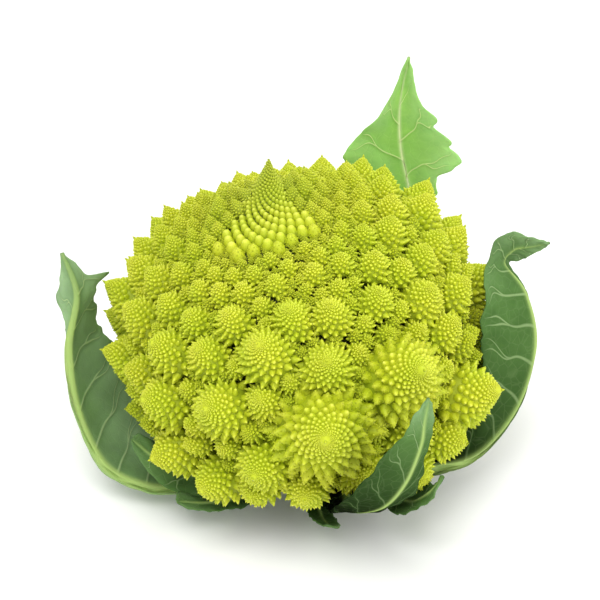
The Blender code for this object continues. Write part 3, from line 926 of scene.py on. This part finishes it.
@dataclass
class Curd:
    """The whole curd: core, spire and florets."""

    curve: CurdCurve
    finish: CurdFinish
    sectors: int = 9
    material: bpy.types.Material = field(init=False)

    def build(self) -> None:
        """Build every piece, the florets in sectors about the axis."""
        self.material = self.finish.build()
        rng = np.random.default_rng(7)
        self.add("curd_core", self.core())
        named = [(arc * MM, math.radians(turn), width * MM) for turn, arc, width in NAMED_FLORETS]
        large = filled(self.curve, named, FILLERS, grown_width, SMALL_FLORET)
        crown = filled(self.curve, large, CROWN_FILLERS, crown_width, CROWN_FLORET, CROWN_REACH)
        arc, turn, _ = spiral(self.curve, FLORET_PACKING)
        width = grown_width(arc, turn)
        free = np.array([self.is_free(*place, crown) for place in zip(arc, turn, width)])
        small = (width <= SMALL_FLORET) & free
        self.build_spire(arc[small], turn[small], width[small], rng)
        sites = filled(self.curve, crown, CREVICE_FILLERS, grown_width, CREVICE_FLORET)
        sites = filled(self.curve, sites, BED_FILLERS, grown_width, CREVICE_FLORET, blades=blade_points())
        # painted shade on the florets in crevices and beds
        light = np.where(np.arange(len(sites)) < len(crown), 1.0, CREVICE_SHADING)
        sector = ((np.degrees(sites[:, 1]) - SECTOR_START) % 360 / (360 / self.sectors)).astype(int)
        for number in range(self.sectors):
            patches = [self.floret(*sites[i], rng, light[i]) for i in np.flatnonzero(sector == number)]
            self.add(f"florets_{number}", merged(patches).moved(self.curve.frame))

    def is_free(self, arc: float, turn: float, width: float, sites: Array) -> bool:
        """Whether a small floret isn't swallowed by one of the larger ones.

        Args:
            arc: its distance from the tip.
            turn: its angle about the axis.
            width: its width.
            sites: rows (arc, turn, width) of the larger ones.

        Returns:
            Whether it stands clear of them all.
        """
        feet = np.array([curve_foot(self.curve, *site[:2]) for site in sites])
        gaps = np.linalg.norm(feet - curve_foot(self.curve, arc, turn), axis=1)
        return bool(np.all(gaps > SWALLOWED * (width + sites[:, 2])))

    def add(self, name: str, patch: Patch) -> None:
        """Make one of the curd's pieces."""
        add_piece(name, patch, self.material, "curd")

    def core(self) -> Patch:
        """The surface under the florets, sunk by about a quarter of their width, and closed over the stalk.

        Returns:
            A patch in the head's frame, with the attributes tip and age.
        """
        rows, sides = CORE_ROWS, CORE_SIDES
        arc = np.linspace(0.0, CURD_ARC, rows)
        turn = np.arange(sides) * 2 * math.pi / sides
        sunk = -np.where(floret_width(arc) > SMALL_FLORET, *CORE_DEPTHS) * floret_width(arc)
        ring = carried(self.curve.at(arc[1:, None], turn[None], sunk[1:, None]), self.curve.frame)
        ring[:, :, 2] = np.maximum(ring[:, :, 2], CORE_FLOOR)
        tip = carried(self.curve.at(np.array([0.0]), np.array([0.0]), sunk[:1]), self.curve.frame)
        foot = ring[-1].mean(0)[None]
        points = np.vstack([tip, ring.reshape(-1, 3), foot])
        j = np.arange(sides)
        last = 1 + (rows - 2) * sides
        base = np.stack([np.full(sides, last + sides), last + (j + 1) % sides, last + j], -1)
        faces = np.vstack([dome_faces(rows - 1, sides), base])
        age = np.concatenate([[0.0], np.repeat(arc[1:] / CURD_ARC, sides), [1.0]])
        # painted shade: the core between the florets takes the darkest crease colour
        return Patch(points, faces, {"tip": np.zeros(len(points)), "age": age})

    def build_spire(self, arc: Array, turn: Array, width: Array, rng: np.random.Generator) -> None:
        """Build the small florets, from single buds at the tip to cones with buds of their own.

        Args:
            arc: their distances from the tip.
            turn: their angles about the axis.
            width: their widths.
            rng: the source of their small differences.
        """
        bud, ball, knobbed = SPIRE_WIDTHS
        frames = ((bud_patch(BudKind.ROUND), width <= bud, 1.02),
                  (bud_patch(BudKind.BALL), (width > bud) & (width <= ball), 1.0),
                  (knob_patch(BudKind.BALL, BALL_KNOBS), (width > ball) & (width <= knobbed), 1.0))
        patches = []
        for template, chosen, swell in frames:
            patch = scattered(template, self.curve.at(arc[chosen], turn[chosen]),
                              self.curve.axis(arc[chosen], turn[chosen]), swell * width[chosen])
            patch.values["age"] = np.repeat(arc[chosen] / CURD_ARC, len(template.points))
            patches.append(patch)
        self.add("spire", merged(patches).moved(self.curve.frame))
        rest = width > knobbed
        florets = [self.floret(*site, rng) for site in zip(arc[rest], turn[rest], width[rest])]
        self.add("young_florets", merged(florets).moved(self.curve.frame))

    def floret(self, arc: float, turn: float, width: float, rng: np.random.Generator, light: float = 1.0) -> Patch:
        """One floret in its place.

        The crown's cones are taller than the rest, with finer buds. Those behind the spire are lower and sunk a little.

        Args:
            arc: its distance from the tip.
            turn: its angle about the axis.
            width: its width.
            rng: the source of its small differences.
            light: how pale it is, from 0 to 1; less in a crevice, as painted shade.

        Returns:
            A patch with the attributes tip and age.
        """
        cone = smoothstep(*CONE_RANGE, arc) * smoothstep(*CROWN_TURNS, off_front(turn))
        behind = smoothstep(*BEHIND_SPIRE, off_front(turn))
        low = behind * (1 - smoothstep(*BEHIND_REACH, arc))
        cone = cone * (1 - behind)
        height = FLORET_HEIGHT + CONE_RISE * cone - BEHIND_DROP * low + rng.normal(0, 0.02)
        shape = FloretShape(width, height, 1 + CONE_FINENESS * cone)
        patch = merged([shape.body(), shape.buds(rng)])
        patch.points = patch.points - [0, 0, BEHIND_DROP * width * low]
        patch = patch.moved(floret_matrix(self.curve, arc, turn))
        # painted shade: florets in crevices are darkened
        patch.values["tip"] = patch.values["tip"] * light
        patch.values["age"] = np.full(len(patch.points), arc / CURD_ARC)
        return patch


# ---- The stalk ----


@dataclass
class Stalk:
    """The cut stalk: a short waisted column with shallow ridges and a level cut face."""

    curve: CurdCurve
    finish: StalkFinish
    sides: int = 96

    def build(self) -> None:
        """Build the piece.

        The radius goes from the cut face's to the waist's, with nine shallow ridges. The top leans with the head.
        """
        turn = np.arange(self.sides) * 2 * math.pi / self.sides
        share = np.linspace(0, 1, STALK_LEVELS)
        radius = read_off(STALK_PROFILE, share) * STALK_RADIUS
        ridge = 1 + 0.022 * np.sin(9 * turn) + 0.012 * np.sin(4 * turn + 1.0)
        top = (self.curve.frame.inverted() @ Vector((0, 0, STALK_HEIGHT))).z
        flat = about_axis(radius[:, None], turn, 0.0) * ridge[:, None]
        tilted = carried(flat + [0, 0, top], self.curve.frame)
        column = flat + (share * STALK_HEIGHT)[:, None, None] * [0, 0, 1.0]
        blend = smoothstep(0.3, 1.0, share)[:, None, None]
        side = column * (1 - blend) + (tilted - [0, 0, STALK_HEIGHT]) * blend
        leaning = column[:, :, 2] + (tilted[:, :, 2] - STALK_HEIGHT) * blend[:, :, 0]
        side[:, :, 2] = np.where(share[:, None] > 0.3, leaning, column[:, :, 2])
        face = side[0][None] * np.array(CUT_RINGS)[:, None, None]
        face[:, :, 2] = 0.0
        rows = np.concatenate([face, side])
        points = np.vstack([[[0, 0, 0]], rows.reshape(-1, 3), [rows[-1].mean(0)]])
        count, n = len(rows), self.sides
        j = np.arange(n)
        last = 1 + (count - 1) * n
        lid = np.stack([np.full(n, last + n), last + j, last + (j + 1) % n], -1)
        # point 0 is at the bottom, so the faces are turned over
        faces = np.vstack([dome_faces(count, n)[:, ::-1], lid])
        plain = [0] * (STALK_LEVELS - 1)
        cut = np.concatenate([[1.0], np.repeat([1, 1, 1, 1, 0.8] + plain, n), [0.0]])
        ring = np.concatenate([[0.0], np.repeat([0, 0, 0.9, 0.3, 0.8] + plain, n), [0.0]])
        patch = Patch(points, faces, {"cut": cut, "ring": ring})
        add_piece("stalk_piece", patch, self.finish.build(), "stalk")


# ---- The leaves ----

VEIN_FORK = 0.45  # how far across the blade a side vein forks
FINE_GRID, PLAIN_GRID = (24, 49), (14, 29)  # points between two knots of the rib, and across the blade
RIPPLES, RUFFLES = 3.5, 11  # slow waves of the whole blade and quick ones of its edge, over the leaf's length
VEIN_ROOM = (3 * MM, 7 * MM)  # between these widths of half a blade side veins fade in


@dataclass(frozen=True)
class Lobe:
    """A place where a leaf's edge stands out or is cut in."""

    side: int  # -1 left, 1 right
    at: float  # along the rib, from 0 at the foot to 1 at the tip
    reach: float  # along the rib
    amount: float  # of the half blade's width, negative to cut in


@dataclass(frozen=True)
class LeafShape:
    """A leaf's rib and edges, in mm from foot to tip. Left is seen from outside, looking along the rib."""

    rib: tuple
    left: tuple
    right: tuple
    rib_thickness: tuple[float, float]  # mm at foot and tip
    wave: float  # mm
    tone: tuple[float, float]  # at foot and tip: -1 where painted shade makes the blade darkest, 0 bare, and 1 clouded with wax
    veins: int
    ragged: float = 0.03  # height of the teeth, over the half blade's width
    lobes: tuple[Lobe, ...] = ()
    young: bool = False
    fine: bool = True
    sweep: float = 0.11  # how far along the rib a side vein goes on its way to the edge


# painted light: each leaf's shade and wax values make the leaves in the head's shade darker, the front one most, and
# the lit left one palest
LEAVES = {
    "leaf_left": LeafShape(
        ((-28, -10, 8), (-42, -22, 7), (-59, -31, 8.5), (-75, -33, 10), (-93, -28, 18), (-104, -19, 40),
         (-107, -9, 65), (-103, -2, 87), (-108, 0, 106)),
        ((-27, -4, 9), (-40, -8, 8), (-55, -6, 9), (-68, 2, 14), (-78, 10, 25), (-89, 15, 43), (-96, 16, 62),
         (-97, 10, 84), (-107, 1, 105.5)),
        ((-27, -13, 6), (-42, -24, 6), (-59, -33, 8), (-75, -34, 9), (-94, -29, 18), (-105, -19, 40), (-108, -8, 64),
         (-109, 1, 86), (-109, 1, 105.5)),
        (5.5, 1.2), 1.2, (0.9, 1.0), 12, 0.05, sweep=0.035,
        lobes=(Lobe(1, 0.86, 0.03, 0.5), Lobe(1, 0.80, 0.012, -0.3), Lobe(-1, 0.895, 0.012, 1.3),
               Lobe(-1, 0.84, 0.02, -0.2))),
    "leaf_right": LeafShape(
        ((28, -11, 8.5), (37, -22, 13.5), (47, -31, 18.5), (64, -27, 24), (80, -13.5, 39.5), (87, 1, 60),
         (83, 10, 79.5), (74, 13, 93), (78, 11, 102), (85, 8, 105), (92, 5, 108)),
        ((28, -13, 8), (37, -24, 13), (47, -33, 18), (65, -28, 23), (82, -14, 39), (88, 2, 59), (84, 12, 79),
         (77, 15, 91), (82, 13, 95), (87, 9, 101), (93, 6, 107)),
        ((28, -5, 10), (37, -12, 15), (47, -16, 22), (60, -18, 38), (64, -18, 54), (65, -17, 69), (64, -12, 84),
         (66, 3, 97), (73, 5, 112), (84, 5, 111), (91.5, 4, 109)),
        (5.0, 1.2), 1.0, (-0.9, 0.6), 15, 0.035, sweep=0.04),
    "leaf_front": LeafShape(
        ((10, -26, 7), (9, -45, 13), (11, -64, 22), (22, -82, 38), (30, -93, 58), (35, -98, 79), (36, -99, 91),
         (37.5, -98, 101)),
        ((5, -27, 9), (0, -47, 14), (2, -69, 26), (8, -92, 50), (18, -101, 71), (27, -104, 86), (32, -102, 95),
         (37, -99, 100.5)),
        ((14, -24, 6), (17, -41, 11), (21, -59, 18), (31, -74, 35), (37, -86, 56), (39, -95, 79), (40, -97, 91),
         (39, -97, 100.5)),
        (4.5, 1.2), 0.8, (-1.45, 0.4), 8, 0.02),
    "leaf_back": LeafShape(
        ((11, 25, 7), (25, 52, 9), (38, 82, 30), (40, 90, 60), (39, 88, 86), (34, 86, 111), (33, 82, 135),
         (36, 78, 157)),
        ((15, 22, 8), (35, 47, 10), (51, 76, 30), (53, 85, 60), (49, 82, 85), (58, 79, 107), (42, 80, 134),
         (37, 78, 156.5)),
        ((7, 27, 8), (15, 55, 10), (25, 84, 31), (25, 90, 60), (14, 87, 86), (10, 84, 106), (26, 81, 131),
         (35, 78, 156.5)),
        (5.0, 1.2), 1.2, (0.3, 1.0), 9, young=True,
        lobes=(Lobe(-1, 0.82, 0.014, 0.18), Lobe(-1, 0.792, 0.010, -0.14), Lobe(-1, 0.765, 0.014, 0.12),
               Lobe(-1, 0.740, 0.008, -0.08), Lobe(-1, 0.712, 0.014, 0.12), Lobe(-1, 0.645, 0.028, -0.26),
               Lobe(-1, 0.595, 0.014, 0.14), Lobe(-1, 0.56, 0.014, -0.18), Lobe(1, 0.80, 0.014, 0.10),
               Lobe(1, 0.72, 0.016, 0.08))),
    "leaf_inner": LeafShape(
        ((-21, -18, 15), (-34, -28, 15), (-50, -36, 19), (-66, -38, 26), (-80, -36, 38)),
        ((-22, -14, 17), (-34, -21, 18), (-50, -28, 22), (-67, -31, 31), (-79, -34, 41)),
        ((-18, -20, 13), (-33, -33, 12), (-50, -43, 14), (-68, -44, 21), (-81, -37, 36)),
        (3.5, 1.0), 0.5, (-0.5, 0.2), 5, fine=False),
    "leaf_low_left": LeafShape(
        ((-16, -22, 6), (-30, -33, 7), (-46, -44, 11), (-61, -51, 17)),
        ((-18, -19, 7), (-33, -29, 7), (-49, -39, 11), (-63, -47, 20)),
        ((-12, -23, 6), (-27, -37, 7), (-43, -48, 10), (-59, -53, 15)),
        (3.0, 1.0), 0.4, (-0.5, 0.2), 5, fine=False),
    "leaf_low_front": LeafShape(
        ((-3, -27, 5), (-3, -42, 7), (0, -58, 11), (5, -69, 18)),
        ((-7, -26, 6), (-8, -41, 8), (-5, -57, 12), (4, -70, 18)),
        ((0, -27, 6), (2, -42, 7), (5, -58, 12), (6, -68, 17.5)),
        (3.0, 1.0), 0.4, (-0.5, 0.2), 5, fine=False),
    "leaf_low_right": LeafShape(
        ((20, -21, 6), (29, -39, 11), (36, -57, 21), (42, -66, 33), (47, -66, 41)),
        ((18, -23, 6), (24, -43, 10), (30, -62, 19), (41, -70, 31), (46, -68, 40)),
        ((23, -19, 6), (33, -36, 13), (41, -53, 30), (44, -62, 34), (47, -64, 41)),
        (3.0, 1.0), 0.4, (-0.5, 0.2), 5, fine=False),
}


def smooth_line(points: tuple, parts: int) -> Array:
    """Draw a Catmull-Rom curve.

    Args:
        points: the points that it runs through, in mm.
        parts: how many parts it has between two of them.

    Returns:
        Its points, in metres.
    """
    p = np.array(points, dtype=float) * MM
    p = np.vstack([2 * p[0] - p[1], p, 2 * p[-1] - p[-2]])
    t = (np.arange(parts) / parts)[:, None]
    runs = [b + 0.5 * t * (c - a + t * (2 * a - 5 * b + 4 * c - d + t * (3 * (b - c) + d - a)))
            for a, b, c, d in zip(p, p[1:], p[2:], p[3:])]
    return np.vstack([*runs, p[-2][None]])


def blade_faces(rows: int, columns: int) -> Array:
    """Triangles of a closed blade: a grid of points on its outer side, the same on its inner side, and its edge.

    Args:
        rows: how many rows of points lie along the blade.
        columns: how many points lie across it.

    Returns:
        An array of triangles that face away from the blade.
    """
    count = rows * columns
    face = grid_faces(rows, columns)
    border = np.concatenate([np.arange(columns), np.arange(1, rows) * columns + columns - 1,
                             (rows - 1) * columns + np.arange(columns - 2, -1, -1),
                             np.arange(rows - 2, 0, -1) * columns])
    after = np.roll(border, -1)
    strip = np.vstack([np.stack([border, count + border, count + after], -1),
                       np.stack([border, count + after, after], -1)])
    return np.vstack([face[:, ::-1], face + count, strip[:, ::-1]])


@dataclass
class Leaf:
    """One leaf as a thin closed blade."""

    name: str
    shape: LeafShape
    blade: float = 1.0 * MM  # thickness

    def build(self, material: bpy.types.Material) -> None:
        """Build the piece.

        The blade's middle runs straight from the rib to each edge. The edge is cut into lobes and small teeth, and
        waves in and out of the blade. Side veins leave the rib at even steps and sweep forward, and the blade puckers
        between them. A half that is folded narrow shows no side veins.

        Args:
            material: its material.
        """
        s = self.shape
        parts, columns = FINE_GRID if s.fine else PLAIN_GRID
        spine = smooth_line(s.rib, parts)
        left, right = smooth_line(s.left, parts), smooth_line(s.right, parts)
        v = np.linspace(0, 1, len(spine))[:, None]
        u = np.linspace(-1, 1, columns)[None]
        u = np.sign(u) * np.abs(u) ** 1.2
        scale = np.where(u > 0, self.edge_scale(v, 1), self.edge_scale(v, -1))
        reach = np.abs(u) * (1 + (scale - 1) * np.abs(u) ** 5) * (1 - 0.7 * smoothstep(0.96, 1.0, v))
        edge = np.where((u > 0)[:, :, None], right[:, None], left[:, None])
        middle = spine[:, None] + (edge - spine[:, None]) * reach[:, :, None]
        half = np.linalg.norm(edge - spine[:, None], axis=2)
        length = np.linalg.norm(np.diff(spine, axis=0), axis=1).sum()

        fade = np.sin(math.pi * np.clip(v, 0, 1))
        ripple = s.wave * MM * np.sin(2 * math.pi * RIPPLES * v) * u**2 * fade
        ruffle = 0.5 * MM * np.sin(2 * math.pi * (RUFFLES * v + 0.3 * u)) * np.abs(u) ** 3 * fade
        phase = self.vein_phase(u, v)
        vein, pucker = self.relief(u, v, phase)
        room = smoothstep(*VEIN_ROOM, half) * np.ones_like(u)
        vein = vein * room
        middle = middle + self.normals(middle) * (ripple + ruffle + pucker)[:, :, None]
        n = self.normals(middle)
        thick = np.interp(v, (0, 1), s.rib_thickness) * MM
        rib = np.exp(-((np.abs(u) / 0.2) ** 2)) * np.ones_like(v)
        taper = 1 - 0.6 * smoothstep(0.8, 1.0, np.abs(u))
        raised = (thick - self.blade).clip(0) * rib
        outer = middle + n * ((self.blade / 2) * taper + raised + 0.25 * MM * vein)[:, :, None]
        inner = middle - n * ((self.blade / 2) * taper)[:, :, None]
        count = len(spine) * columns
        line = np.exp(-((np.abs(u) * half / (0.34 * thick + 0.2 * MM)) ** 2)) * (1 - 0.6 * smoothstep(0.75, 1.0, v))
        # painted shade and wax, from the foot to the tip
        tone = np.interp(v, (0.15, 0.9), s.tone) * np.ones_like(u)
        values = {"rib": np.tile(line.ravel(), 2), "outer": np.repeat([1.0, 0.0], count),
                  "tone": np.tile(tone.ravel(), 2), "phase": np.tile(phase.ravel(), 2),
                  "across": np.tile((np.abs(u) * np.ones_like(v)).ravel(), 2),
                  "spacing": np.tile((length / s.veins / MM * (1 + 8 * (1 - room))).ravel(), 2)}
        points = np.vstack([outer.reshape(-1, 3), inner.reshape(-1, 3)])
        patch = Patch(points, blade_faces(len(spine), columns), values)
        add_piece(self.name + "_blade", patch, material, self.name)

    def edge_scale(self, v: Array, side: int) -> Array:
        """Cut lobes and teeth into an edge.

        Args:
            v: places along the rib.
            side: -1 for the left edge, 1 for the right one.

        Returns:
            How far the edge reaches at each place, over the plain edge.
        """
        phase = 2.0 * side + len(self.name)
        turns = 2 * math.pi * v
        teeth = (0.9 * np.sin(6.1 * turns + phase)
                 + 0.8 * np.sin(14.3 * turns + 2 * phase) * np.sin(2.2 * turns + phase)
                 + 0.4 * np.sin(33.7 * turns + phase) * np.sin(5.1 * turns))
        scale = 1 + self.shape.ragged * teeth * smoothstep(0.25, 0.6, v)
        for lobe in self.shape.lobes:
            if lobe.side == side:
                scale = scale + lobe.amount * np.exp(-(((v - lobe.at) / lobe.reach) ** 2))
        return scale

    def vein_phase(self, u: Array, v: Array) -> Array:
        """Lay out the side veins.

        Args:
            u: places across the blade, from -1 at the left edge to 1 at the right one.
            v: places along the rib.

        Returns:
            A number that is whole on each side vein. It rises along the rib, falls towards the edge, and wanders, and
            the veins on the left lie about half a step off those on the right.
        """
        wander = (0.015 * np.sin(2 * math.pi * (2.3 * v + 1.1 * u) + len(self.name))
                  + 0.006 * np.sin(2 * math.pi * (7.1 * v - 2.3 * u)))
        along = v - self.shape.sweep * np.abs(u) ** 0.85 + wander * np.abs(u)
        return along * self.shape.veins + np.where(u > 0, 0.0, 0.45)

    @staticmethod
    def relief(u: Array, v: Array, phase: Array) -> tuple[Array, Array]:
        """Raise the side veins.

        Args:
            u: places across the blade.
            v: places along the rib.
            phase: a number that is whole on each side vein.

        Returns:
            How far each vein stands out, from 0 to 1, and the height of the blade's puckers between them in metres.
        """
        off = np.abs(phase - np.round(phase))
        fork = 0.47 * np.clip(np.abs(u) - VEIN_FORK, 0, 1)
        veins = np.exp(-((np.abs(off - fork) * 22) ** 2)) * smoothstep(1.0, 0.8, np.abs(u)) * smoothstep(0.03, 0.12, v)
        pucker = 0.5 * MM * (1 - np.cos(2 * math.pi * phase)) / 2 * smoothstep(0.1, 0.5, np.abs(u))
        return veins, pucker

    @staticmethod
    def normals(surface: Array) -> Array:
        """Unit normals of a grid of points, towards the outside of the head."""
        return unit(np.cross(np.gradient(surface, axis=0), np.gradient(surface, axis=1)))


# ---- The studio ----


@dataclass(frozen=True)
class Lamp:
    """A soft area light that points at the head."""

    name: str
    place: tuple[float, float, float]
    size: float
    power: float

    def build(self, target: tuple[float, float, float]) -> None:
        """Add the light.

        Args:
            target: the point that it shines at.
        """
        data = bpy.data.lights.new(self.name, "AREA")
        data.shape, data.size, data.energy = "DISK", self.size, self.power
        obj = new_object(self.name, data)
        obj.location = self.place
        obj.rotation_euler = (Vector(target) - Vector(self.place)).to_track_quat("-Z", "Y").to_euler()


@dataclass
class Studio:
    """The floor, the light and the camera."""

    target: tuple[float, float, float] = (-0.0105, 0.0096, 0.0773)
    distance: float = 0.943
    elevation: float = 32.0  # degrees
    view_angle: float = 15.23  # degrees across the frame
    floor_reach: float = 6.0
    sky: float = 0.78  # strength
    lamps: tuple[Lamp, ...] = (
        Lamp("key_light", (-0.15, -0.60, 1.10), 0.8, 9.8),
        Lamp("fill_light", (0.9, -0.7, 0.6), 0.9, 5.0),
        Lamp("back_light", (0.2, 0.9, 0.9), 0.8, 4.0),
    )

    def build(self) -> None:
        """Add the floor, the lamps, an even white sky and the camera."""
        mesh = bpy.data.meshes.new("floor")
        r = self.floor_reach
        mesh.from_pydata([(-r, -r, 0), (r, -r, 0), (r, r, 0), (-r, r, 0)], [], [(0, 1, 2, 3)])
        floor = new_object("floor", mesh)
        floor_paint = NodeBuilder("floor_paint")
        floor_paint.feed(floor_paint.shader, {"Base Color": linear("F8F8F7"), "Roughness": 0.9,
                                              "Specular IOR Level": 0.1})
        mesh.materials.append(floor_paint.material)
        for lamp in self.lamps:
            lamp.build(self.target)
        scene = bpy.context.scene
        world = bpy.data.worlds.new("studio")
        world.use_nodes = True
        background = world.node_tree.nodes["Background"]
        background.inputs["Color"].default_value = (1.0, 1.0, 1.0, 1.0)
        background.inputs["Strength"].default_value = self.sky
        scene.world = world
        scene.view_settings.view_transform = "Standard"
        self.build_camera(scene)

    def build_camera(self, scene: bpy.types.Scene) -> None:
        """Add the camera and make it the scene's.

        Args:
            scene: the scene.
        """
        data = bpy.data.cameras.new("camera")
        data.sensor_fit = "HORIZONTAL"
        data.sensor_width = 36
        data.lens = 18 / math.tan(math.radians(self.view_angle / 2))
        camera = new_object("camera", data)
        up = math.radians(self.elevation)
        camera.location = Vector(self.target) + self.distance * Vector((0, -math.cos(up), math.sin(up)))
        camera.rotation_euler = (math.radians(90 - self.elevation), 0, 0)
        scene.camera = camera


def main() -> None:
    """Build the head and the studio."""
    logging.basicConfig(level=logging.INFO, format="%(message)s")
    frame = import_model()
    LOG.info("solids: %s", ", ".join(sorted(frame["nodes"])))
    curve = CurdCurve()
    Curd(curve, CurdFinish()).build()
    Stalk(curve, StalkFinish()).build()
    old = LeafFinish("outer_leaf", dark="41602F", main="618548", bloom="9CBA8C", vein="A8C088", rib="9FB96B",
                     foot="10180A", seen_through=0.10).build()
    young = LeafFinish("young_leaf", dark="5C9C30", main="8CC24C", bloom="A9D18C", vein="CFE09A", rib="DDE8B4",
                       foot="4C8A2C", seen_through=0.2).build()
    for name, shape in LEAVES.items():
        Leaf(name, shape).build(young if shape.young else old)
    Studio().build()
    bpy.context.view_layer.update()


if __name__ == "__main__":
    main()
